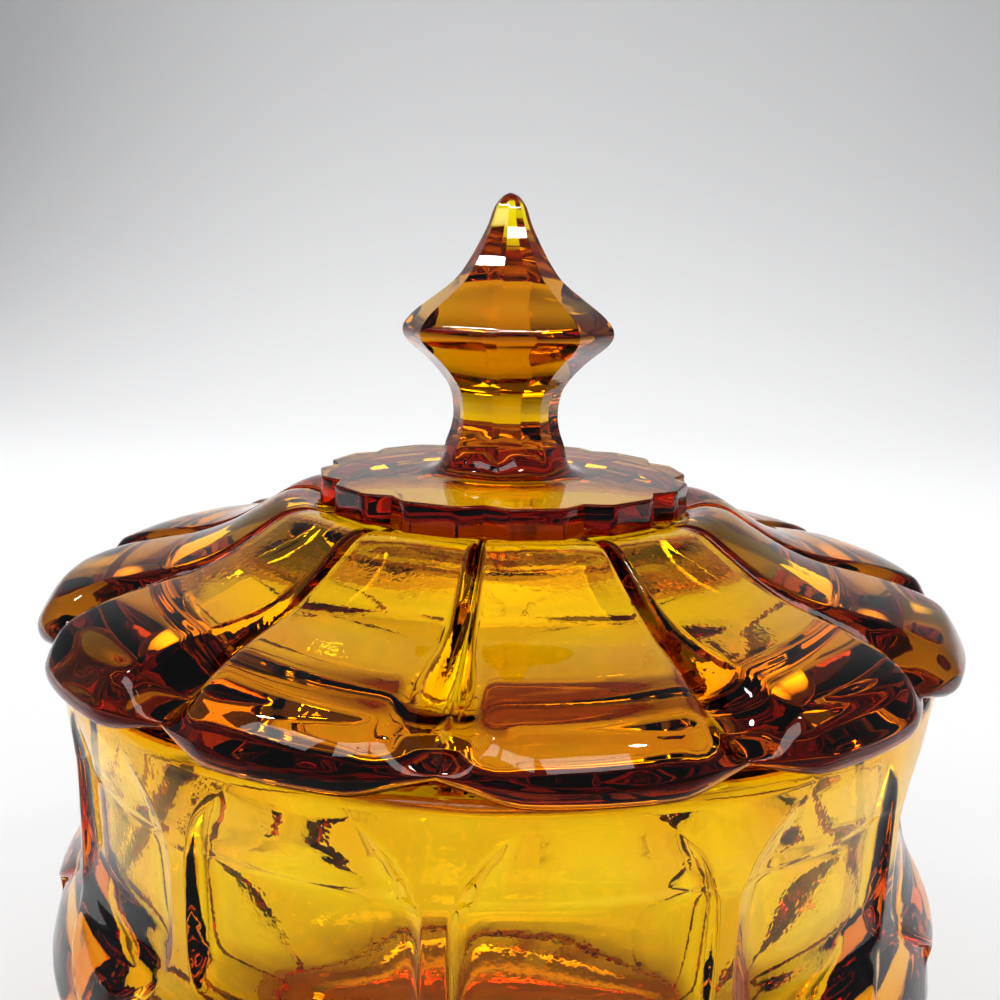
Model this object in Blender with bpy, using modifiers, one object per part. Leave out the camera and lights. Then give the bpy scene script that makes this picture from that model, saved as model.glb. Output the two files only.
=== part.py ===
"""Apothecary jar of pressed amber glass: a footed jar body and a lift-off lid with its finial.

Both pieces have twelve lobes. A valley of the lid and a rib of the body face -Y.
"""

import math

import bmesh
import bpy
from mathutils import Vector

# ---- driving dimensions, metres and degrees ----
UNIT = 0.0825  # the profiles below are shares of this length; the petals reach just past it
RIM_PLANE = 0.107  # height of the joint between lid and jar above the ground
GAP = 0.0003  # air between the lid and the jar
LOBES = 12
HALF_LOBE = 180.0 / LOBES

SEAT_Z = RIM_PLANE + 0.0002  # flat underside of the lid that rests on the jar
JAR_TOP_Z = SEAT_Z - GAP
MOUTH_RADIUS = 0.0710
FLANGE_RADIUS = 0.0701
FLANGE_DROP = 0.0045
FLOOR_Z = 0.0165
FOOT_RECESS_RADIUS = 0.0440
FOOT_RECESS_DEPTH = 0.0025

# ---- resolution ----
LID_STEPS = 6  # points across one petal
PANEL_STEPS = 6  # intervals across one panel
CURVE_STEPS = 2  # samples between two points of a profile
ROUND_STEPS = 48
KNOB_SIDES = 8
MERGE = 0.00001

# Heights are shares of UNIT over the rim plane, and radii are shares of UNIT.
RIB_CURVE = (  # height and radius along a rib of the jar body
    (-1.165, 0.588),
    (-1.050, 0.725),
    (-0.870, 0.915),
    (-0.760, 0.983),
    (-0.675, 1.010),
    (-0.560, 0.976),
    (-0.460, 0.947),
    (-0.350, 0.941),
    (-0.220, 0.944),
    (-0.130, 0.953),
    (-0.020, 0.960),
)
PANEL_CURVE = (  # height and radius along the middle of a panel
    (-1.165, 0.586),
    (-1.050, 0.690),
    (-0.870, 0.856),
    (-0.690, 0.957),
    (-0.605, 1.006),
    (-0.505, 0.974),
    (-0.410, 0.925),
    (-0.350, 0.916),
    (-0.220, 0.922),
    (-0.130, 0.940),
    (-0.020, 0.959),
)
PANEL_OVALS = ((-0.305, 0.300), (-0.885, 0.280))  # middle height and half length of each row of panels
PANEL_WIDTH = 13.6  # half angle of a panel at its widest
BELLY = -0.620  # height between the two rows of panels
UPPER_EDGE = 6.0  # exponents: higher for a flatter panel with a sharper edge
LOWER_EDGE = 2.4
PANEL_HEIGHTS = (
    (-1.165, -1.140, -1.100, -1.050, -0.970, -0.890, -0.810, -0.740, -0.675, -0.635)
    + (-0.605, -0.575, -0.530, -0.480, -0.420, -0.350, -0.260, -0.170, -0.100, -0.050, -0.020)
)
FOOT_CURVE = ((-RIM_PLANE / UNIT, 0.660), (-1.2750, 0.673), (-1.2350, 0.655), (-1.1850, 0.603))
JAR_HOLLOW_CURVE = (  # radius and height down the inside
    (0.8600, -0.100),
    (0.8560, -0.300),
    (0.8620, -0.450),
    (0.8820, -0.600),
    (0.8150, -0.820),
    (0.6000, -1.000),
    (0.2400, -1.090),
)
PETAL_CURVE = (  # crest radius and height, then valley radius and height, from the seat inwards
    (0.957, 0.0024, 0.915, 0.0024),
    (0.975, 0.0000, 0.945, 0.0210),
    (0.992, 0.0010, 0.957, 0.0260),
    (1.0105, 0.0360, 0.964, 0.0360),
    (0.985, 0.0920, 0.955, 0.0480),
    (0.937, 0.1217, 0.912, 0.0600),
    (0.873, 0.1430, 0.853, 0.0730),
    (0.790, 0.1600, 0.780, 0.0860),
    (0.710, 0.1750, 0.705, 0.1060),
    (0.630, 0.2050, 0.630, 0.1380),
    (0.560, 0.2460, 0.560, 0.1660),
    (0.500, 0.2800, 0.500, 0.2030),
    (0.450, 0.2830, 0.450, 0.2360),
    (0.412, 0.2690, 0.405, 0.2560),
    (0.380, 0.2690, 0.372, 0.2620),
)
DISC_CORNER = 0.415
DISC_NOTCH = 0.386
DISC_EDGES = ((0.2740, 0.994), (0.2800, 1.000), (0.3320, 1.000), (0.3380, 0.990))  # height and share
KNOB_CURVE = (  # height and ridge radius from the tip down to the flare on the disc
    (0.9500, 0.006),
    (0.9220, 0.034),
    (0.8520, 0.063),
    (0.7650, 0.118),
    (0.6960, 0.206),
    (0.6520, 0.237),
    (0.6260, 0.224),
    (0.5560, 0.148),
    (0.5220, 0.126),
    (0.4700, 0.118),
    (0.4000, 0.135),
    (0.3520, 0.151),
    (0.3300, 0.176),
)
LID_HOLLOW_CURVE = (  # radius and height down the inside of the lid
    (0.250, 0.222),
    (0.400, 0.196),
    (0.500, 0.152),
    (0.570, 0.118),
    (0.640, 0.076),
    (0.690, 0.048),
    (0.725, 0.026),
    (0.740, 0.000),
)
CROWN = 0.230  # height of the top of the lid's hollow


def clear_scene():
    """Takes out whatever the scene starts with."""
    for item in list(bpy.data.objects):
        bpy.data.objects.remove(item, do_unlink=True)


def collection(name, helper=False):
    """A collection of the scene; a helper one is left out of renders."""
    made = bpy.data.collections.new(name)
    bpy.context.scene.collection.children.link(made)
    made.hide_render = helper
    return made


def glass(name, colour, roughness):
    """Plain Principled material for one piece of pressed glass."""
    made = bpy.data.materials.new(name)
    made.use_nodes = True
    made.diffuse_color = colour
    shader = made.node_tree.nodes["Principled BSDF"]
    shader.inputs["Base Color"].default_value = colour
    shader.inputs["Roughness"].default_value = roughness
    shader.inputs["Metallic"].default_value = 0.0
    shader.inputs["IOR"].default_value = 1.52
    shader.inputs["Transmission Weight"].default_value = 0.85
    return made


def add_object(name, mesh, home):
    """Links a mesh as a named object."""
    made = bpy.data.objects.new(name, mesh)
    home.objects.link(made)
    return made


def above_rim(height):
    """Height of a profile point in metres."""
    return RIM_PLANE + height * UNIT


def around(radius, height, angle):
    """Point at an angle in degrees from -Y towards +X."""
    turn = math.radians(angle)
    return Vector((radius * math.sin(turn), -radius * math.cos(turn), height))


def hermite(before, start, end, after, share):
    """Value on a smooth curve between start and end that also heeds their neighbours."""
    into, out = (end - before) / 2.0, (after - start) / 2.0
    s2, s3 = share**2, share**3
    return (
        (2 * s3 - 3 * s2 + 1) * start
        + (s3 - 2 * s2 + share) * into
        + (3 * s2 - 2 * s3) * end
        + (s3 - s2) * out
    )


def smooth_curve(points, steps=CURVE_STEPS):
    """The points of a profile with smooth samples between them."""
    made = [points[0]]
    for i in range(len(points) - 1):
        before, after = points[max(i - 1, 0)], points[min(i + 2, len(points) - 1)]
        for step in range(1, steps + 1):
            share = step / steps
            rows = zip(before, points[i], points[i + 1], after)
            made.append(tuple(hermite(*row, share) for row in rows))
    return made


def radius_at(curve, height):
    """Radius of a rising profile at a height."""
    for i in range(len(curve) - 1):
        low, high = curve[i], curve[i + 1]
        if height <= high[0] or i == len(curve) - 2:
            share = (height - low[0]) / (high[0] - low[0])
            before, after = curve[max(i - 1, 0)], curve[min(i + 2, len(curve) - 1)]
            return hermite(before[1], low[1], high[1], after[1], share)
    return curve[-1][1]


def closed_mesh(name, rings):
    """Skins rings of equal length, given bottom to top, and caps both ends."""
    shell = bmesh.new()
    rows = [[shell.verts.new(point) for point in ring] for ring in rings]
    count = len(rows[0])
    for lower, upper in zip(rows, rows[1:]):
        for i in range(count):
            j = (i + 1) % count
            shell.faces.new((lower[i], lower[j], upper[j], upper[i]))
    shell.faces.new(list(reversed(rows[0])))
    shell.faces.new(rows[-1])
    bmesh.ops.recalc_face_normals(shell, faces=shell.faces)
    mesh = bpy.data.meshes.new(name)
    shell.to_mesh(mesh)
    shell.free()
    return mesh


def lobe_places(steps):
    """Places across one lobe from -1 up to 1, closer together beside its edges."""
    places = []
    for step in range(steps):
        even = 2.0 * step / steps - 1.0
        places.append(math.copysign(1.0 - (1.0 - abs(even)) ** 1.6, even))
    return places


def petal_ring(crest_radius, crest_height, valley_radius, valley_height):
    """One ring round the lid: a crowned top with steep flanks down to each valley."""
    ring = []
    for lobe in range(LOBES):
        for across in lobe_places(LID_STEPS):
            rise = 1.0 - 0.15 * across**2 - 0.85 * across**12
            reach = 1.0 - 0.30 * across**2 - 0.70 * across**8
            radius = valley_radius + (crest_radius - valley_radius) * reach
            height = valley_height + (crest_height - valley_height) * rise
            angle = (2 * lobe + 1 + across) * HALF_LOBE
            ring.append(around(radius * UNIT, above_rim(height), angle))
    return ring


def disc_ring(height, share):
    """One ring round the collar disc: a flat on each lobe and a V notch between lobes."""
    ring = []
    for lobe in range(LOBES):
        for across in lobe_places(LID_STEPS):
            slope = max(0.0, 2.0 * abs(across) - 1.0)
            radius = (DISC_CORNER + (DISC_NOTCH - DISC_CORNER) * slope) * share
            angle = (2 * lobe + 1 + across) * HALF_LOBE
            ring.append(around(radius * UNIT, above_rim(height), angle))
    return ring


def panel_half_angle(height):
    """Half width of the panel at a height, from the oval of its row."""
    for middle, half_length in PANEL_OVALS:
        place = abs(height - middle) / half_length
        if place < 1.0:
            return max(1.0, PANEL_WIDTH * math.sqrt(1.0 - place**2))
    return 1.0


def panel_ring(height):
    """One ring round the jar body: a flat-bottomed panel between plain strips on the ribs."""
    rib, panel = radius_at(RIB_CURVE, height), radius_at(PANEL_CURVE, height)
    half_angle = panel_half_angle(height)
    edge = UPPER_EDGE if height > BELLY else LOWER_EDGE
    ring = []
    for lobe in range(LOBES):
        centre = (2 * lobe + 1) * HALF_LOBE
        ring.append(around(rib * UNIT, above_rim(height), centre - HALF_LOBE))
        for across in [*lobe_places(PANEL_STEPS), 1.0]:
            radius = rib + (panel - rib) * (1.0 - abs(across) ** edge)
            ring.append(around(radius * UNIT, above_rim(height), centre + across * half_angle))
    return ring


def round_ring(radius, height):
    """A plain circle with the same points as a ring of the jar body."""
    ring = []
    for lobe in range(LOBES):
        centre = (2 * lobe + 1) * HALF_LOBE
        ring.append(around(radius, height, centre - HALF_LOBE))
        for across in [*lobe_places(PANEL_STEPS), 1.0]:
            ring.append(around(radius, height, centre + across * 0.85 * HALF_LOBE))
    return ring


def turned(name, profile, home, steps):
    """A solid turned about +Z from (radius, height) points that run from top to bottom."""
    mesh = bpy.data.meshes.new(name)
    points = [(radius, 0.0, height) for radius, height in profile]
    edges = [(i, i + 1) for i in range(len(points) - 1)]
    mesh.from_pydata(points, edges, [])
    made = add_object(name, mesh, home)
    screw = made.modifiers.new("turn", "SCREW")
    screw.axis = "Z"
    screw.angle = math.radians(360.0)
    screw.steps = steps
    screw.render_steps = steps
    screw.use_merge_vertices = True
    screw.merge_threshold = MERGE
    screw.use_normal_calculate = False
    return made


def combine(target, other, operation):
    """Joins or cuts one object with another."""
    step = target.modifiers.new(other.name, "BOOLEAN")
    step.operation = operation
    step.solver = "EXACT"
    step.object = other


def smooth(item, degrees):
    """Smooth shading with the hard edges kept."""
    for face in item.data.polygons:
        face.use_smooth = True
    item.data.set_sharp_from_angle(angle=math.radians(degrees))


def in_metres(curve):
    """(radius, height) points in metres from points in shares."""
    return [(radius * UNIT, above_rim(height)) for radius, height in curve]


def build_jar(parts, cutters, material):
    """The bowl with two rows of panels, its foot, the hollow and the recess under the foot."""
    foot = [round_ring(radius * UNIT, above_rim(height)) for height, radius in FOOT_CURVE]
    wall = [panel_ring(height) for height in PANEL_HEIGHTS]
    rim_radius = RIB_CURVE[-1][1] * UNIT
    rim = [
        round_ring(rim_radius - 0.0004, JAR_TOP_Z - 0.0008),
        round_ring(rim_radius - 0.0016, JAR_TOP_Z),
    ]
    body = add_object("jar_body", closed_mesh("jar_body", foot + wall + rim), parts)
    body.data.materials.append(material)
    smooth(body, 24)

    hollow = [(0.0, JAR_TOP_Z + 0.01), (MOUTH_RADIUS, JAR_TOP_Z + 0.01)]
    hollow += in_metres(smooth_curve(JAR_HOLLOW_CURVE))
    hollow.append((0.0, FLOOR_Z))
    combine(body, turned("jar_hollow_cutter", hollow, cutters, ROUND_STEPS), "DIFFERENCE")

    recess = [
        (0.0, FOOT_RECESS_DEPTH),
        (FOOT_RECESS_RADIUS - 0.002, FOOT_RECESS_DEPTH),
        (FOOT_RECESS_RADIUS, -0.005),
        (0.0, -0.005),
    ]
    combine(body, turned("foot_recess_cutter", recess, cutters, ROUND_STEPS), "DIFFERENCE")
    return body


def build_lid(parts, cutters, material):
    """Petals, collar disc, knob and locating flange in one pressing, hollow underneath."""
    rings = [petal_ring(*station) for station in smooth_curve(PETAL_CURVE)]
    rings += [disc_ring(*edge) for edge in DISC_EDGES]
    lid = add_object("lid", closed_mesh("lid", rings), parts)
    lid.data.materials.append(material)
    smooth(lid, 28)

    knob = [(0.0, above_rim(KNOB_CURVE[0][0] + 0.002))]
    knob += [(radius * UNIT, above_rim(height)) for height, radius in smooth_curve(KNOB_CURVE)]
    knob.append((0.0, above_rim(KNOB_CURVE[-1][0])))
    combine(lid, turned("knob_form", knob, cutters, KNOB_SIDES), "UNION")

    flange_top, flange_foot = SEAT_Z + 0.004, SEAT_Z - FLANGE_DROP
    flange = [
        (0.0, flange_top),
        (FLANGE_RADIUS, flange_top),
        (FLANGE_RADIUS, flange_foot + 0.001),
        (FLANGE_RADIUS - 0.001, flange_foot),
        (0.0, flange_foot),
    ]
    combine(lid, turned("flange_form", flange, cutters, ROUND_STEPS), "UNION")

    hollow = [(0.0, above_rim(CROWN)), *in_metres(smooth_curve(LID_HOLLOW_CURVE))]
    hollow.append((hollow[-1][0], RIM_PLANE - 0.012))
    hollow.append((0.0, RIM_PLANE - 0.012))
    combine(lid, turned("lid_hollow_cutter", hollow, cutters, ROUND_STEPS), "DIFFERENCE")
    return lid


def hide_helpers(cutters):
    """Helper shapes stay in the file as wire outlines only."""
    for item in cutters.objects:
        item.hide_render = True
        item.display_type = "WIRE"


def main():
    """Builds both pieces at rest, with the lid on the jar."""
    clear_scene()
    parts = collection("apothecary_jar")
    cutters = collection("cutters", helper=True)
    build_jar(parts, cutters, glass("amber_glass_jar", (0.93, 0.62, 0.02, 1.0), 0.04))
    build_lid(parts, cutters, glass("amber_glass_lid", (0.86, 0.48, 0.02, 1.0), 0.03))
    hide_helpers(cutters)


main()
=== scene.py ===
"""Looks of the apothecary jar: a footed jar body and a lift-off lid, both of pressed amber glass.

Lengths are in metres. Profiles are shares of UNIT, and their heights are measured from the rim
plane, where the lid meets the jar. Angles run from -Y towards +X.
"""

import logging
import math
from dataclasses import dataclass
from enum import Enum

import bmesh
import bpy
import numpy as np
from mathutils import Matrix, Vector


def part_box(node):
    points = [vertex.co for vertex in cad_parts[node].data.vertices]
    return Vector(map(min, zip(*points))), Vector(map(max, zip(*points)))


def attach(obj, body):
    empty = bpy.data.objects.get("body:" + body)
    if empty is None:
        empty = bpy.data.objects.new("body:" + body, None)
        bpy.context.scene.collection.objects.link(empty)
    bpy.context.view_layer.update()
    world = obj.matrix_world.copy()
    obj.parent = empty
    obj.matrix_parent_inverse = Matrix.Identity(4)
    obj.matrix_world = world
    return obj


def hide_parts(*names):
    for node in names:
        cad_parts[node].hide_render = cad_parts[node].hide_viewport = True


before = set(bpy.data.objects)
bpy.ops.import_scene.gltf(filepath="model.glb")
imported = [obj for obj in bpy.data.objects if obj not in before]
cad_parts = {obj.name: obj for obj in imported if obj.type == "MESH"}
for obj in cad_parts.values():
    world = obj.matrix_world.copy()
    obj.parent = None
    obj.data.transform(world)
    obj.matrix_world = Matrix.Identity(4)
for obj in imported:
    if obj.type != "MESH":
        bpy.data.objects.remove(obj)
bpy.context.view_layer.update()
LOG = logging.getLogger("apothecary_jar")

JAR_LOW, JAR_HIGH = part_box("jar_body")
LOBES = 12
KNOB_SIDES = 8
RING_POINTS = 384  # points round every ring; a multiple of both counts above
BELLY_SHARE = 1.010  # radius of the jar's ribs at the belly, in shares
UNIT = JAR_HIGH.x / BELLY_SHARE  # length that the profiles are shares of
GAP = 0.0003  # air between the lid's seat and the jar's rim
SEAT_RISE = 0.0002  # height of the lid's seat over the rim plane
RIM_PLANE = JAR_HIGH.z + GAP - SEAT_RISE
SEAT = SEAT_RISE / UNIT
RIM_TOP = SEAT - GAP / UNIT
GROUND = (JAR_LOW.z - RIM_PLANE) / UNIT
PRESSED = "pressed_inside"  # mesh attribute: 1 on surfaces that the plunger shaped
WATTS_PER_RADIANCE = 4.0 * math.pi  # power of a flat lamp of 1 square metre whose radiance is 1
MIX_SHARE, MIX_FIRST, MIX_SECOND, MIX_RESULT = 0, 6, 7, 2  # colour sockets of a Mix node


class Body(Enum):
    """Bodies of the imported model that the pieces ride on."""

    JAR = "jar"
    LID = "lid"


class LampShape(Enum):
    """Outlines that a soft lamp can have."""

    BOX = "RECTANGLE"
    ROUND = "ELLIPSE"


def smooth_rows(rows: tuple, per_gap: int) -> np.ndarray:
    """Runs a centripetal Catmull-Rom curve through rows of control values.

    Args:
        rows: Control values, one row for each point of the curve.
        per_gap: Samples between one control point and the next.

    Returns:
        The sampled rows, the first and last control rows included.
    """
    points = np.array(rows, float)
    padded = np.vstack([2 * points[0] - points[1], points, 2 * points[-1] - points[-2]])
    gaps = np.sqrt(np.linalg.norm(np.diff(padded, axis=0), axis=1)) + 1e-9
    knots = np.concatenate([[0.0], np.cumsum(gaps)])
    made = [points[:1]]
    for i in range(len(points) - 1):
        p0, p1, p2, p3 = padded[i : i + 4]
        t0, t1, t2, t3 = knots[i : i + 4]
        t = np.linspace(t1, t2, per_gap + 1)[1:, None]
        a1 = (t1 - t) / (t1 - t0) * p0 + (t - t0) / (t1 - t0) * p1
        a2 = (t2 - t) / (t2 - t1) * p1 + (t - t1) / (t2 - t1) * p2
        a3 = (t3 - t) / (t3 - t2) * p2 + (t - t2) / (t3 - t2) * p3
        b1 = (t2 - t) / (t2 - t0) * a1 + (t - t0) / (t2 - t0) * a2
        b2 = (t3 - t) / (t3 - t1) * a2 + (t - t1) / (t3 - t1) * a3
        made.append((t2 - t) / (t2 - t1) * b1 + (t - t1) / (t2 - t1) * b2)
    return np.vstack(made)


def lobe_angles(lobes: int, crowding: float) -> tuple[np.ndarray, np.ndarray]:
    """Angles of a ring's points, closer together beside the lines between lobes.

    Args:
        lobes: Lobes round the ring.
        crowding: 1 for even spacing, more to crowd the points at the lobes' edges.

    Returns:
        Angles in radians, and each point's place across its lobe, from -1 to 1.
    """
    count = RING_POINTS // lobes
    step = np.arange(count) / count * 2.0 - 1.0
    across = np.sign(step) * (1.0 - (1.0 - np.abs(step)) ** crowding)
    half = math.pi / lobes
    angles = np.concatenate([(2 * lobe + 1 + across) * half for lobe in range(lobes)])
    return angles, np.tile(across, lobes)


def ring(radius: np.ndarray, height: np.ndarray, angles: np.ndarray) -> np.ndarray:
    """Places the points of one ring round the jar's axis.

    Args:
        radius: Radius in shares, one value or one for each point.
        height: Height over the rim plane in shares, one value or one for each point.
        angles: Angle of each point in radians.

    Returns:
        The points in metres, one row each.
    """
    radius = np.broadcast_to(radius, angles.shape) * UNIT
    height = np.broadcast_to(height, angles.shape) * UNIT + RIM_PLANE
    return np.stack([radius * np.sin(angles), -radius * np.cos(angles), height], axis=1)


def ramp(value: np.ndarray, start: float, power: float) -> np.ndarray:
    """Rises from 0 at a start value to 1 at value 1.

    Args:
        value: Values whose sizes are read.
        start: Size up to which the result stays 0.
        power: Exponent of the rise.

    Returns:
        The ramped values.
    """
    return np.clip((np.abs(value) - start) / (1.0 - start), 0.0, 1.0) ** power


def add_to_scene(name: str, data: bpy.types.ID) -> bpy.types.Object:
    """Makes an object from its data and links it to the scene.

    Args:
        name: Name of the object.
        data: Mesh, lamp or camera.

    Returns:
        The new object.
    """
    made = bpy.data.objects.new(name, data)
    bpy.context.scene.collection.objects.link(made)
    return made


@dataclass(frozen=True)
class SurfaceRun:
    """A run of rings, and whether the plunger pressed them from inside."""

    rings: list[np.ndarray]
    inside: bool = False


def skin(name: str, runs: list[SurfaceRun]) -> bpy.types.Object:
    """Builds one closed surface from rings, with a pole at each end.

    Args:
        name: Name of the object and its mesh.
        runs: Runs of rings, from the top pole down the outside and up the inside.

    Returns:
        The new object, linked to the scene.
    """
    rows = [row for run in runs for row in run.rings]
    inside = [float(run.inside) for run in runs for _ in run.rings]
    built = bmesh.new()
    mask = built.verts.layers.float.new(PRESSED)
    grid = []
    for row, value in zip(rows, inside):
        line = []
        for point in row:
            vert = built.verts.new(point)
            vert[mask] = value
            line.append(vert)
        grid.append(line)
    for upper, lower in zip(grid, grid[1:]):
        for i in range(RING_POINTS):
            j = (i + 1) % RING_POINTS
            built.faces.new((upper[i], lower[i], lower[j], upper[j]))
    for line, value, flip in ((grid[0], inside[0], False), (grid[-1], inside[-1], True)):
        centre = sum((vert.co for vert in line), Vector()) / RING_POINTS
        pole = built.verts.new(centre)
        pole[mask] = value
        for i in range(RING_POINTS):
            pair = (line[i], line[(i + 1) % RING_POINTS])
            built.faces.new((pole, *(reversed(pair) if flip else pair)))
    bmesh.ops.recalc_face_normals(built, faces=built.faces)
    mesh = bpy.data.meshes.new(name)
    built.to_mesh(mesh)
    built.free()
    mesh.shade_smooth()
    return add_to_scene(name, mesh)


@dataclass(frozen=True)
class PressedRipple:
    """Unevenness of pressed glass, a node group that both glass finishes share."""

    group_name: str = "pressed_ripple"
    detail: float = 1.0

    def group(self) -> bpy.types.NodeTree:
        """Finds the node group, or builds it the first time.

        Returns:
            The group: object coordinates and a mask go in, and a height comes out.
        """
        found = bpy.data.node_groups.get(self.group_name)
        if found:
            return found
        tree = bpy.data.node_groups.new(self.group_name, "ShaderNodeTree")
        tree.interface.new_socket("Position", in_out="INPUT", socket_type="NodeSocketVector")
        tree.interface.new_socket("Inside", in_out="INPUT", socket_type="NodeSocketFloat")
        for name in ("Ripple Scale", "Swell Scale", "Swell Amount"):
            tree.interface.new_socket(name, in_out="INPUT", socket_type="NodeSocketFloat")
        tree.interface.new_socket("Height", in_out="OUTPUT", socket_type="NodeSocketFloat")
        given = tree.nodes.new("NodeGroupInput")
        result = tree.nodes.new("NodeGroupOutput")
        ripple = self.noise(tree, given, "Ripple Scale")
        swell = self.noise(tree, given, "Swell Scale")
        masked = tree.nodes.new("ShaderNodeMath")
        masked.operation = "MULTIPLY"
        tree.links.new(ripple.outputs["Fac"], masked.inputs[0])
        tree.links.new(given.outputs["Inside"], masked.inputs[1])
        total = tree.nodes.new("ShaderNodeMath")
        total.operation = "MULTIPLY_ADD"
        tree.links.new(swell.outputs["Fac"], total.inputs[0])
        tree.links.new(given.outputs["Swell Amount"], total.inputs[1])
        tree.links.new(masked.outputs["Value"], total.inputs[2])
        tree.links.new(total.outputs["Value"], result.inputs["Height"])
        return tree

    def noise(self, tree: bpy.types.NodeTree, given: bpy.types.Node, scale: str) -> bpy.types.Node:
        """Adds one noise whose scale comes from the group's input.

        Args:
            tree: The group's tree.
            given: The group's input node.
            scale: Name of the input that sets the scale.

        Returns:
            The noise node.
        """
        made = tree.nodes.new("ShaderNodeTexNoise")
        made.inputs["Detail"].default_value = self.detail
        tree.links.new(given.outputs["Position"], made.inputs["Vector"])
        tree.links.new(given.outputs[scale], made.inputs["Scale"])
        return made


@dataclass(frozen=True)
class AmberGlass:
    """Finish of a pressed amber glass piece."""

    name: str
    strength: float  # how strongly the ripple turns the normals
    tint: tuple = (1.0, 0.98, 0.80, 1.0)
    absorbed: tuple = (0.987, 0.955, 0.0, 1.0)
    density: float = 1000.0
    index: float = 1.52
    roughness: float = 0.0
    ripple_scale: float = 900.0
    swell_scale: float = 60.0
    swell_amount: float = 0.35
    ripple_depth: float = 0.0002
    ripple: PressedRipple = PressedRipple()

    def material(self) -> bpy.types.Material:
        """Makes the material.

        Returns:
            Clear glass that absorbs blue, then green, with depth, and is faintly rippled.
        """
        made = bpy.data.materials.new(self.name)
        made.use_nodes = True
        tree = made.node_tree
        shader = tree.nodes["Principled BSDF"]
        shader.inputs["Base Color"].default_value = self.tint
        shader.inputs["Roughness"].default_value = self.roughness
        shader.inputs["IOR"].default_value = self.index
        shader.inputs["Transmission Weight"].default_value = 1.0
        volume = tree.nodes.new("ShaderNodeVolumeAbsorption")
        volume.inputs["Color"].default_value = self.absorbed
        volume.inputs["Density"].default_value = self.density
        tree.links.new(volume.outputs["Volume"], tree.nodes["Material Output"].inputs["Volume"])
        bump = self.bump(tree)
        tree.links.new(bump.outputs["Normal"], shader.inputs["Normal"])
        return made

    def bump(self, tree: bpy.types.NodeTree) -> bpy.types.Node:
        """Turns the shared ripple into normals.

        Args:
            tree: The material's tree.

        Returns:
            The bump node.
        """
        place = tree.nodes.new("ShaderNodeTexCoord")
        inside = tree.nodes.new("ShaderNodeAttribute")
        inside.attribute_name = PRESSED
        ripple = tree.nodes.new("ShaderNodeGroup")
        ripple.node_tree = self.ripple.group()
        ripple.inputs["Ripple Scale"].default_value = self.ripple_scale
        ripple.inputs["Swell Scale"].default_value = self.swell_scale
        ripple.inputs["Swell Amount"].default_value = self.swell_amount
        tree.links.new(place.outputs["Object"], ripple.inputs["Position"])
        tree.links.new(inside.outputs["Fac"], ripple.inputs["Inside"])
        made = tree.nodes.new("ShaderNodeBump")
        made.inputs["Strength"].default_value = self.strength
        made.inputs["Distance"].default_value = self.ripple_depth
        tree.links.new(ripple.outputs["Height"], made.inputs["Height"])
        return made


@dataclass(frozen=True)
class MattePaper:
    """Finish of the plain sheet under and behind the jar, darker in front of it by painted shade.
    """

    name: str = "paper"
    light: tuple = (0.80, 0.80, 0.80, 1.0)
    shade: tuple = (0.78, 0.78, 0.785, 1.0)
    roughness: float = 0.7
    scale: float = 3.0
    # painted shade: a darker tone for the sheet in front of the jar, which keeps it dim there
    # though the front lamps light it
    front: tuple = (0.30, 0.30, 0.305, 1.0)
    painted_shade_from: float = -0.15  # the darker tone fades out between these places along Y
    painted_shade_to: float = -0.04

    def material(self) -> bpy.types.Material:
        """Makes the material.

        Returns:
            Matte off-white paper whose tone drifts a little, and which is darker in front of the
            jar by painted shade.
        """
        made = bpy.data.materials.new(self.name)
        made.use_nodes = True
        tree = made.node_tree
        shader = tree.nodes["Principled BSDF"]
        place = tree.nodes.new("ShaderNodeTexCoord")
        drift = tree.nodes.new("ShaderNodeTexNoise")
        drift.inputs["Scale"].default_value = self.scale
        tree.links.new(place.outputs["Object"], drift.inputs["Vector"])
        second, tone = self.mix(tree, drift.outputs["Fac"], self.light)
        second.default_value = self.shade
        # painted shade: the sheet's tone darkens in front of the jar
        tree.links.new(self.paint_front_shade(tree, tone), shader.inputs["Base Color"])
        shader.inputs["Roughness"].default_value = self.roughness
        return made

    def mix(self, tree: bpy.types.NodeTree, share: bpy.types.NodeSocket, first: tuple) -> tuple:
        """Adds a mix of two colours.

        Args:
            tree: The material's tree.
            share: Share of the second colour.
            first: The first colour.

        Returns:
            The socket of the second colour, and that of the mixed one.
        """
        made = tree.nodes.new("ShaderNodeMix")
        made.data_type = "RGBA"
        tree.links.new(share, made.inputs[MIX_SHARE])
        made.inputs[MIX_FIRST].default_value = first
        return made.inputs[MIX_SECOND], made.outputs[MIX_RESULT]

    def paint_front_shade(
        self, tree: bpy.types.NodeTree, tone: bpy.types.NodeSocket
    ) -> bpy.types.NodeSocket:
        """Paints shade on the sheet: fades the tone to the darker one in front of the jar.

        Args:
            tree: The material's tree.
            tone: The paper's colour elsewhere.

        Returns:
            The faded colour.
        """
        place = tree.nodes.new("ShaderNodeTexCoord")
        parts = tree.nodes.new("ShaderNodeSeparateXYZ")
        fade = tree.nodes.new("ShaderNodeMapRange")
        fade.interpolation_type = "SMOOTHSTEP"
        fade.inputs["From Min"].default_value = self.painted_shade_from
        fade.inputs["From Max"].default_value = self.painted_shade_to
        tree.links.new(place.outputs["Object"], parts.inputs["Vector"])
        tree.links.new(parts.outputs["Y"], fade.inputs["Value"])
        second, faded = self.mix(tree, fade.outputs["Result"], self.front)
        tree.links.new(tone, second)
        return faded


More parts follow.
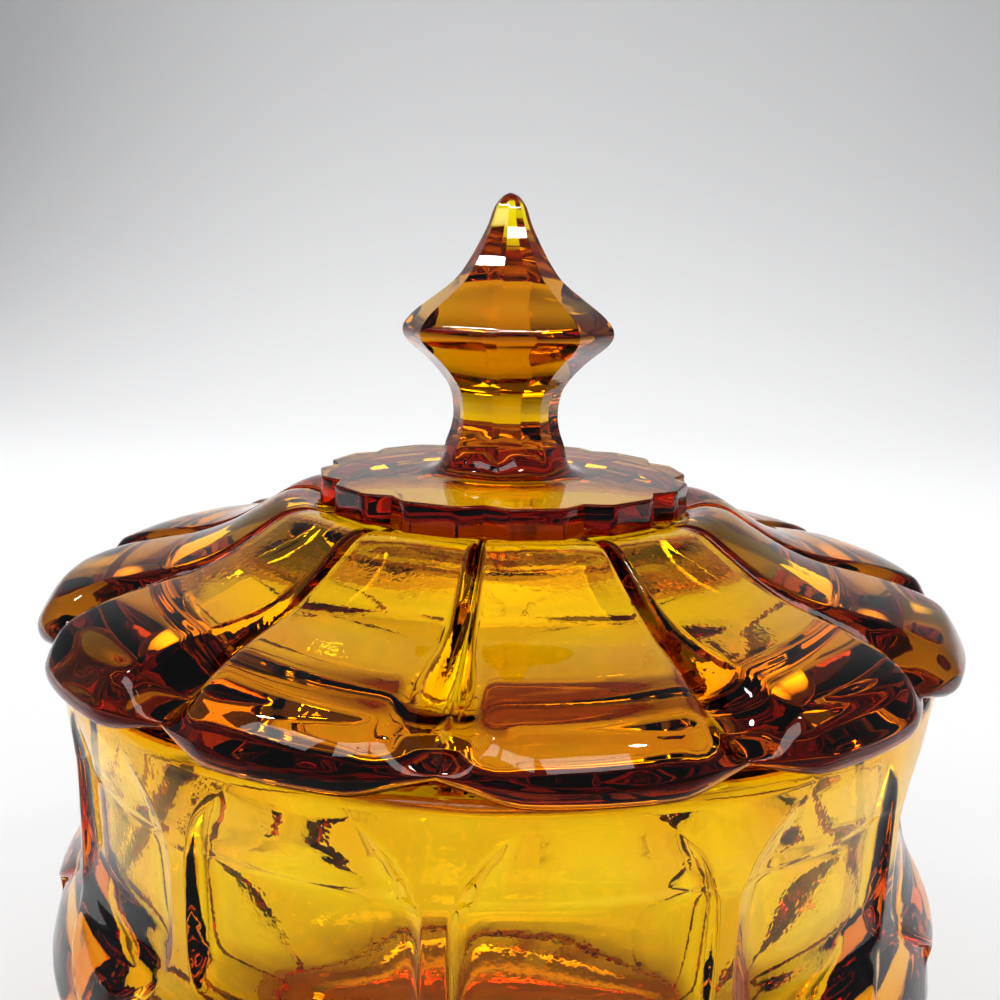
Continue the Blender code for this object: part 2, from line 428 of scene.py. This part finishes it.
@dataclass
class Lid:
    """Petalled lid with its collar disc, faceted knob and locating flange."""

    finish: AmberGlass
    knob_rows: tuple = (  # height, and radius at the corners between facets
        (0.9500, 0.004),
        (0.9440, 0.0165),
        (0.9220, 0.034),
        (0.8870, 0.0465),
        (0.8520, 0.063),
        (0.8000, 0.092),
        (0.7650, 0.118),
        (0.7300, 0.161),
        (0.6960, 0.206),
        (0.6780, 0.224),
        (0.6610, 0.235),
        (0.6430, 0.235),
        (0.6260, 0.224),
        (0.5910, 0.182),
        (0.5560, 0.148),
        (0.5220, 0.126),
        (0.4700, 0.118),
        (0.4350, 0.123),
        (0.4000, 0.135),
        (0.3700, 0.142),
        (0.3520, 0.151),
        (0.3440, 0.163),
        (0.3390, 0.178),
    )
    knob_steps: int = 4  # rings between one row and the next, as in the other steps
    knob_crowding: float = 1.5
    facets_end: float = 0.40  # height at which the eight facets start to round off
    facets_fade: float = 0.055  # height over which they do
    disc_top: float = 0.338
    disc_bottom: float = 0.274
    disc_corner: float = 0.415  # radius where a flat meets its notch
    disc_notch: float = 0.386  # radius at the bottom of a notch
    disc_edge: float = 0.0045  # rounding of the disc's edges
    disc_flare: float = 0.002  # how much wider the disc is at its bottom
    disc_power: int = 6  # higher to keep the notches' shape nearer to the disc's edge
    disc_crowding: float = 1.6
    corner_place: float = 0.50  # place of the flats' corners across a lobe
    petal_rows: tuple = (  # radius and height of the crest, the same of the valley, shoulder
        (0.380, 0.2690, 0.372, 0.262, 0.90),
        (0.412, 0.2690, 0.405, 0.256, 0.90),
        (0.450, 0.2830, 0.450, 0.236, 0.90),
        (0.500, 0.2800, 0.500, 0.203, 0.89),
        (0.560, 0.2460, 0.560, 0.166, 0.88),
        (0.630, 0.2050, 0.630, 0.138, 0.87),
        (0.710, 0.1750, 0.705, 0.106, 0.84),
        (0.790, 0.1600, 0.780, 0.086, 0.79),
        (0.873, 0.1430, 0.853, 0.073, 0.72),
        (0.937, 0.1217, 0.912, 0.060, 0.64),
        (0.972, 0.1020, 0.945, 0.051, 0.56),
        (1.003, 0.0560, 0.963, 0.040, 0.48),
        (1.0105, 0.034, 0.964, 0.034, 0.45),
        (1.0060, 0.014, 0.963, 0.031, 0.45),
        (0.992, 0.0010, 0.957, 0.026, 0.45),
        (0.975, 0.0000, 0.945, 0.021, 0.45),
        (0.957, SEAT, 0.915, SEAT, 0.45),
    )
    petal_steps: int = 5
    petal_crowding: float = 1.8
    crown: float = 0.10  # share of a petal's height that its top loses towards its flanks
    nose_bow: float = 0.25  # shares of a petal's reach that its nose loses along its front,
    nose_corner: float = 0.75  # and round its corners,
    nose_power: float = 1.2  # which are sharper for a higher exponent
    flange_radius: float = 0.0701  # metres
    flange_depth: float = 0.0045  # metres
    hollow_rows: tuple = (  # radius, height
        (0.740, -0.020),
        (0.738, 0.006),
        (0.725, 0.026),
        (0.690, 0.048),
        (0.640, 0.076),
        (0.570, 0.118),
        (0.500, 0.152),
        (0.400, 0.196),
        (0.250, 0.222),
        (0.080, 0.230),
        (0.004, 0.230),
    )
    hollow_steps: int = 4

    def knob_rings(self) -> list[np.ndarray]:
        """Shapes the knob and its neck, eight-sided and rounding off towards the disc.

        Returns:
            Rings from the tip down to the disc's top.
        """
        sides, across = lobe_angles(KNOB_SIDES, self.knob_crowding)
        lobes, _ = lobe_angles(LOBES, self.disc_crowding)
        half = math.pi / KNOB_SIDES
        flat = math.cos(half) / np.cos(across * half)
        rings = []
        for height, radius in smooth_rows(self.knob_rows, self.knob_steps):
            blend = min(1.0, max(0.0, (self.facets_end - height) / self.facets_fade))
            shape = flat + (1.0 - flat) * blend
            angles = sides + (lobes - sides) * blend
            rings.append(ring(radius * shape, height, angles))
        return rings

    def disc_outline(self, across: np.ndarray) -> np.ndarray:
        """Shapes the collar disc's edge: a flat on each lobe and a V notch between lobes.

        Args:
            across: Place of each point across its lobe, from -1 to 1.

        Returns:
            Radius of the edge at each point.
        """
        half = math.pi / LOBES
        place = np.abs(across) * half
        corner = self.corner_place * half
        flat = self.disc_corner * math.cos(corner) / np.cos(place)
        share = np.clip((place - corner) / (half - corner), 0.0, 1.0)
        slope = self.disc_corner + (self.disc_notch - self.disc_corner) * share
        return np.where(place < corner, flat, slope)

    def disc_rings(self) -> list[np.ndarray]:
        """Goes over the top, round the edge and under the collar disc.

        Returns:
            Rings from the neck's foot to the start of the petals.
        """
        angles, across = lobe_angles(LOBES, self.disc_crowding)
        outline = self.disc_outline(across)
        edge = self.disc_edge
        inner = self.knob_rows[-1][1]
        rings = []
        for share in np.linspace(0.1, 0.97, 12):
            plane = inner + (self.disc_notch - inner) * share
            shape = plane + (outline - self.disc_notch) * share**self.disc_power
            rings.append(ring(shape, self.disc_top, angles))
        for turn in np.linspace(0.0, math.pi / 2, 5):
            drop = edge * (1.0 - math.cos(turn))
            back = edge * (1.0 - math.sin(turn))
            rings.append(ring(outline - back, self.disc_top - drop, angles))
        for share in np.linspace(0.12, 1.0, 8):
            height = self.disc_top - edge + (self.disc_bottom + 2 * edge - self.disc_top) * share
            rings.append(ring(outline + self.disc_flare * share, height, angles))
        for turn in np.linspace(0.3, math.pi / 2, 4):
            drop = edge * math.sin(turn)
            back = edge * (1.0 - math.cos(turn))
            shape = outline + self.disc_flare - back
            rings.append(ring(shape, self.disc_bottom + edge - drop, angles))
        start = self.petal_rows[0]
        for share in (0.4, 0.8):
            inward = outline * (1 - share) + start[0] * share
            rings.append(ring(np.minimum(inward, outline), self.disc_bottom, angles))
        return rings

    def petal_rings(self) -> list[np.ndarray]:
        """Shapes the petals: a gently crowned top, steep flanks and a V valley.

        Returns:
            Rings from under the disc, over the petals' noses, to the seat.
        """
        angles, across = lobe_angles(LOBES, self.petal_crowding)
        rings = []
        rows = smooth_rows(self.petal_rows, self.petal_steps)
        for crest_r, crest_z, valley_r, valley_z, shoulder in rows:
            flank = ramp(across, shoulder, 1.0)
            crown = self.crown * across**2
            rise = 1.0 - crown - (1.0 - self.crown) * flank**2 * (3.0 - 2.0 * flank)
            corner = self.nose_corner * ramp(across, shoulder, self.nose_power)
            reach = 1.0 - self.nose_bow * across**2 - corner
            radius = valley_r + (crest_r - valley_r) * reach
            height = valley_z + (crest_z - valley_z) * rise
            rings.append(ring(radius, height, angles))
        return rings

    def flange_rings(self) -> list[np.ndarray]:
        """Goes over the flat seat and round the locating flange.

        Returns:
            Rings from the seat's outer edge to the flange's inner edge.
        """
        angles, _ = lobe_angles(LOBES, self.petal_crowding)
        outer = self.flange_radius / UNIT
        low = SEAT - self.flange_depth / UNIT
        rows = [(0.915, SEAT), (0.88, SEAT), (outer + 0.006, SEAT), (outer + 0.001, SEAT - 0.002)]
        rows += [(outer, SEAT - 0.008), (outer, low + 0.012), (outer - 0.003, low + 0.003)]
        rows += [(outer - 0.012, low), (0.752, low), (0.743, low + 0.004)]
        return [ring(radius, height, angles) for radius, height in rows]

    def hollow_rings(self) -> list[np.ndarray]:
        """Shapes the inside of the lid.

        Returns:
            Rings from the flange up to the crown.
        """
        angles, _ = lobe_angles(LOBES, self.petal_crowding)
        return [ring(*row, angles) for row in smooth_rows(self.hollow_rows, self.hollow_steps)]

    def build(self) -> bpy.types.Object:
        """Builds the lid as one closed skin that rides on the lid's body.

        Returns:
            The lid.
        """
        outer = self.knob_rings() + self.disc_rings() + self.petal_rings() + self.flange_rings()
        runs = [SurfaceRun(outer), SurfaceRun(self.hollow_rings(), inside=True)]
        made = skin("lid_glass", runs)
        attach(made, Body.LID.value)
        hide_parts("lid")
        self.dress(made)
        return made

    def dress(self, made: bpy.types.Object) -> None:
        """Gives the lid its finish.

        Args:
            made: The lid.
        """
        made.data.materials.append(self.finish.material())


@dataclass
class JarBody:
    """Footed bowl with arched panels between twelve ribs."""

    finish: AmberGlass
    lip_rows: tuple = (  # radius and height, from the top of the rim inwards
        (0.92, RIM_TOP),
        (0.89, RIM_TOP),
        (0.868, RIM_TOP),
        (0.8625, RIM_TOP - 0.004),
    )
    rim_rows: tuple = (  # as in the wall's rows, from the top of the rim outwards
        (RIM_TOP, 0.940, 0.940, 6.5),
        (RIM_TOP - 0.003, 0.950, 0.950, 6.5),
        (RIM_TOP - 0.012, 0.957, 0.956, 6.5),
    )
    wall_rows: tuple = (  # height, radius of the ribs and of the panels, panels' half width
        (-0.030, 0.960, 0.959, 6.5),
        (-0.050, 0.959, 0.958, 7.4),
        (-0.090, 0.957, 0.950, 9.5),
        (-0.130, 0.953, 0.940, 11.4),
        (-0.180, 0.947, 0.929, 12.8),
        (-0.260, 0.942, 0.919, 13.7),
        (-0.350, 0.941, 0.916, 13.7),
        (-0.410, 0.942, 0.925, 13.4),
        (-0.460, 0.947, 0.946, 12.2),
        (-0.505, 0.958, 0.974, 10.0),
        (-0.550, 0.972, 0.997, 6.5),
        (-0.605, 0.994, 1.006, 1.5),
        (-0.640, 1.004, 0.990, 4.0),
        (-0.675, 1.010, 0.968, 7.0),
        (-0.710, 1.003, 0.945, 9.0),
        (-0.790, 0.968, 0.902, 12.2),
        (-0.870, 0.915, 0.856, 13.3),
        (-0.960, 0.835, 0.785, 13.3),
        (-1.050, 0.725, 0.690, 12.5),
        (-1.120, 0.625, 0.608, 8.0),
        (-1.150, 0.590, 0.588, 3.0),
    )
    foot_rows: tuple = (  # radius, height
        (0.590, -1.165),
        (0.600, -1.185),
        (0.650, -1.232),
        (0.672, -1.268),
        (0.672, -1.285),
        (0.660, -1.2968),
    )
    base_rows: tuple = (  # radius, and height over the ground
        (0.630, 0.0002),
        (0.560, 0.0002),
        (0.535, 0.0020),
        (0.500, 0.0270),
        (0.470, 0.0300),
        (0.300, 0.0300),
        (0.100, 0.0300),
        (0.004, 0.0300),
    )
    inside_rows: tuple = (  # radius, height
        (0.8606, -0.030),
        (0.8600, -0.100),
        (0.8560, -0.300),
        (0.8620, -0.450),
        (0.8820, -0.600),
        (0.8700, -0.700),
        (0.8150, -0.820),
        (0.7200, -0.920),
        (0.6000, -1.000),
        (0.4400, -1.060),
        (0.2400, -1.090),
        (0.0040, -1.097),
    )
    wall_steps: int = 6  # rings between one row and the next, inside and outside
    foot_steps: int = 4
    rib_points: int = 4  # intervals from a rib's line to the edge of its panel
    panel_crowding: float = 1.5
    plain_half_angle: float = 7.5  # spacing of a ring without panels, in degrees
    belly: float = -0.62  # height between the two rows of panels
    upper_edge: float = 11.0  # exponents: higher for a flatter panel with a sharper edge
    lower_edge: float = 2.4

    def wall_ring(self, height: float, rib: float, panel: float, half_angle: float) -> np.ndarray:
        """Shapes one ring of the wall: a shallow panel in each lobe between plain strips.

        Args:
            height: Height over the rim plane in shares.
            rib: Radius of the plain strips.
            panel: Radius in the middle of the panels.
            half_angle: Half width of a panel in degrees.

        Returns:
            The points of the ring in metres.
        """
        lobe_half = 180.0 / LOBES
        panel_count = RING_POINTS // LOBES - 2 * self.rib_points
        even = np.linspace(-1.0, 1.0, panel_count + 1)
        across = np.sign(even) * (1.0 - (1.0 - np.abs(even)) ** self.panel_crowding)
        strip = np.linspace(lobe_half, half_angle, self.rib_points + 1)[:-1]
        edge = self.upper_edge if height > self.belly else self.lower_edge
        angles, radii = [], []
        for lobe in range(LOBES):
            centre = (2 * lobe + 1) * lobe_half
            angles += list(centre - strip) + list(centre + across * half_angle)
            angles += list(centre + strip[::-1][:-1])
            radii += [rib] * len(strip)
            radii += list(rib + (panel - rib) * (1.0 - np.abs(across) ** edge))
            radii += [rib] * (len(strip) - 1)
        return ring(np.array(radii), height, np.radians(angles))

    def wall_rings(self) -> list[np.ndarray]:
        """Shapes the outside of the bowl.

        Returns:
            Rings from the top rim down to the waist above the foot.
        """
        rows = [*self.rim_rows, *smooth_rows(self.wall_rows, self.wall_steps)]
        return [self.wall_ring(*row) for row in rows]

    def plain_ring(self, radius: float, height: float) -> np.ndarray:
        """Makes a circle with the same spacing of points as the wall.

        Args:
            radius: Radius in shares.
            height: Height over the rim plane in shares.

        Returns:
            The points of the ring in metres.
        """
        return self.wall_ring(height, radius, radius, self.plain_half_angle)

    def build(self) -> bpy.types.Object:
        """Builds the jar body as one closed skin that rides on the jar's body.

        Returns:
            The jar body.
        """
        lip = [self.plain_ring(*row) for row in self.lip_rows]
        inside = [self.plain_ring(*row) for row in smooth_rows(self.inside_rows, self.wall_steps)]
        foot = [self.plain_ring(*row) for row in smooth_rows(self.foot_rows, self.foot_steps)]
        base = [self.plain_ring(radius, GROUND + rise) for radius, rise in self.base_rows]
        runs = [
            SurfaceRun(inside[::-1], inside=True),
            SurfaceRun(lip[::-1]),
            SurfaceRun(self.wall_rings()),
            SurfaceRun(foot + base),
        ]
        made = skin("jar_glass", runs)
        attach(made, Body.JAR.value)
        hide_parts("jar_body")
        self.dress(made)
        return made

    def dress(self, made: bpy.types.Object) -> None:
        """Gives the jar body its finish.

        Args:
            made: The jar body.
        """
        made.data.materials.append(self.finish.material())


@dataclass(frozen=True)
class Softbox:
    """A flat soft lamp that faces its target. Its bearings are degrees from -Y towards +X."""

    name: str
    azimuth: float
    elevation: float
    distance: float
    width: float
    height: float
    radiance: float
    shape: LampShape = LampShape.BOX
    reflected: bool = True
    spread: float = 180.0
    target: tuple = (0.0, 0.0, 0.12)

    def place(self) -> bpy.types.Object:
        """Places the lamp at its bearing, facing its target.

        Returns:
            The lamp.
        """
        lamp = bpy.data.lights.new(self.name, "AREA")
        lamp.shape = self.shape.value
        lamp.size = self.width
        lamp.size_y = self.height
        filled = math.pi / 4 if self.shape is LampShape.ROUND else 1.0
        lamp.energy = self.radiance * WATTS_PER_RADIANCE * self.width * self.height * filled
        lamp.spread = math.radians(self.spread)
        made = add_to_scene(self.name, lamp)
        turn, tilt = math.radians(self.azimuth), math.radians(self.elevation)
        level = math.cos(tilt)
        away = Vector((math.sin(turn) * level, -math.cos(turn) * level, math.sin(tilt)))
        made.location = Vector(self.target) + away * self.distance
        made.rotation_mode = "QUATERNION"
        made.rotation_quaternion = away.to_track_quat("Z", "Y")
        made.visible_glossy = self.reflected
        return made


@dataclass(frozen=True)
class Viewpoint:
    """The camera, a little above the knob and tilted down. Its angles are in degrees."""

    focal_length: float = 41.5152  # millimetres on the sensor below
    sensor_width: float = 36.0
    distance: float = 2.584  # shares from the jar's axis
    height: float = 0.806  # shares over the rim plane
    bearing: float = 5.478
    yaw: float = 0.156
    pitch: float = 11.727
    roll: float = 1.442
    nearest: float = 0.001

    def place(self) -> bpy.types.Object:
        """Places the camera and makes it the scene's.

        Returns:
            The camera.
        """
        data = bpy.data.cameras.new("camera")
        data.sensor_width = self.sensor_width
        data.lens = self.focal_length
        data.clip_start = self.nearest
        made = add_to_scene("camera", data)
        yaw, pitch, roll = (math.radians(x) for x in (self.yaw, self.pitch, self.roll))
        turn = Matrix.Rotation(math.radians(self.bearing), 3, "Z")
        level = math.cos(pitch)
        right = Vector((math.cos(yaw), math.sin(yaw), 0.0))
        ahead = Vector((-math.sin(yaw) * level, math.cos(yaw) * level, -math.sin(pitch)))
        above = right.cross(ahead)
        across = turn @ (math.cos(roll) * right + math.sin(roll) * above)
        upward = turn @ (math.cos(roll) * above - math.sin(roll) * right)
        axes = Matrix((across, upward, -(turn @ ahead))).transposed().to_4x4()
        spot = turn @ Vector((0.0, -self.distance * UNIT, 0.0))
        axes.translation = Vector((spot.x, spot.y, RIM_PLANE + self.height * UNIT))
        made.matrix_world = axes
        bpy.context.scene.camera = made
        return made


@dataclass
class Studio:
    """Pale sheet, soft lamps, faint even light and the camera."""

    lamps: tuple[Softbox, ...]
    finish: MattePaper = MattePaper()
    viewpoint: Viewpoint = Viewpoint()
    half_width: float = 6.0
    front: float = -8.0  # places along Y: the sheet's front edge,
    bend_start: float = 0.9  # and where it starts to curve up
    bend_radius: float = 0.7
    bend_steps: int = 16
    top: float = 3.0
    clearance: float = 0.0005  # between the foot and the sheet
    room_colour: tuple = (0.95, 0.97, 1.0, 1.0)
    room_strength: float = 0.18
    contrast: str = "Medium High Contrast"
    exposure: float = 0.12

    def build(self) -> None:
        """Builds the whole studio."""
        self.sheet()
        self.room()
        for lamp in self.lamps:
            lamp.place()
        self.viewpoint.place()
        settings = bpy.context.scene.view_settings
        settings.view_transform = "Standard"
        settings.look = self.contrast
        settings.exposure = self.exposure

    def sheet(self) -> bpy.types.Object:
        """Builds the pale sheet that runs under the jar and curves up behind it.

        Returns:
            The sheet, dressed.
        """
        line = [(self.front, 0.0), (0.0, 0.0), (self.bend_start, 0.0)]
        for step in range(1, self.bend_steps + 1):
            turn = math.pi / 2 * step / self.bend_steps
            rise = self.bend_radius * (1.0 - math.cos(turn))
            line.append((self.bend_start + self.bend_radius * math.sin(turn), rise))
        line.append((self.bend_start + self.bend_radius, self.top))
        built = bmesh.new()
        rows = []
        for x in (-self.half_width, self.half_width):
            rows.append([built.verts.new((x, y, z - self.clearance)) for y, z in line])
        for i in range(len(line) - 1):
            built.faces.new((rows[0][i], rows[0][i + 1], rows[1][i + 1], rows[1][i]))
        bmesh.ops.recalc_face_normals(built, faces=built.faces)
        mesh = bpy.data.meshes.new("sheet")
        built.to_mesh(mesh)
        built.free()
        mesh.shade_smooth()
        mesh.materials.append(self.finish.material())
        made = add_to_scene("sheet", mesh)
        return made

    def room(self) -> None:
        """Sets faint even light from all round."""
        world = bpy.data.worlds.new("room")
        world.use_nodes = True
        node = world.node_tree.nodes["Background"]
        node.inputs["Color"].default_value = self.room_colour
        node.inputs["Strength"].default_value = self.room_strength
        bpy.context.scene.world = world


SIDE_TARGET = (0, 0, 0.08)
LAMPS = (
    Softbox(
        "overhead",
        azimuth=180,
        elevation=80,
        distance=2.2,
        width=2.0,
        height=1.6,
        radiance=0.175,
        reflected=False,
        spread=60,
        target=(0, 0.6, 0),
    ),
    Softbox(
        "backdrop_light",
        azimuth=-30,
        elevation=40,
        distance=1.3,
        width=0.9,
        height=0.7,
        radiance=0.12,
        reflected=False,
        spread=90,
        target=(-0.1, 1.3, 0.35),
    ),
    Softbox("side_left", -100, 12, 1.2, 0.9, 0.9, 0.42, reflected=False, target=SIDE_TARGET),
    Softbox("side_right", 100, 12, 1.2, 0.9, 0.9, 0.42, reflected=False, target=SIDE_TARGET),
    Softbox("front_far_left", -48, 36, 1.2, 0.42, 0.24, 0.75),
    Softbox("front_left", -18, 36, 1.2, 0.38, 0.24, 0.75),
    Softbox("front_right", 2, 36, 1.2, 0.26, 0.24, 0.75),
    Softbox("front_far_right", 26, 36, 1.2, 0.45, 0.24, 0.75),
    Softbox("dot_left", -69.5, 50, 1.3, 0.10, 0.10, 8.0, LampShape.ROUND),
    Softbox("dot_right", 47.5, 48, 1.3, 0.10, 0.10, 8.0, LampShape.ROUND),
)


def main() -> None:
    """Builds the pieces and the studio around them."""
    logging.basicConfig(level=logging.INFO, format="%(message)s")
    lid = Lid(finish=AmberGlass("amber_lid", strength=0.10))
    jar = JarBody(finish=AmberGlass("amber_jar", strength=0.07, absorbed=(0.998, 0.967, 0.0, 1.0)))
    for piece in (lid.build(), jar.build()):
        LOG.info("%s: %d faces", piece.name, len(piece.data.polygons))
    Studio(LAMPS).build()


if __name__ == "__main__":
    main()
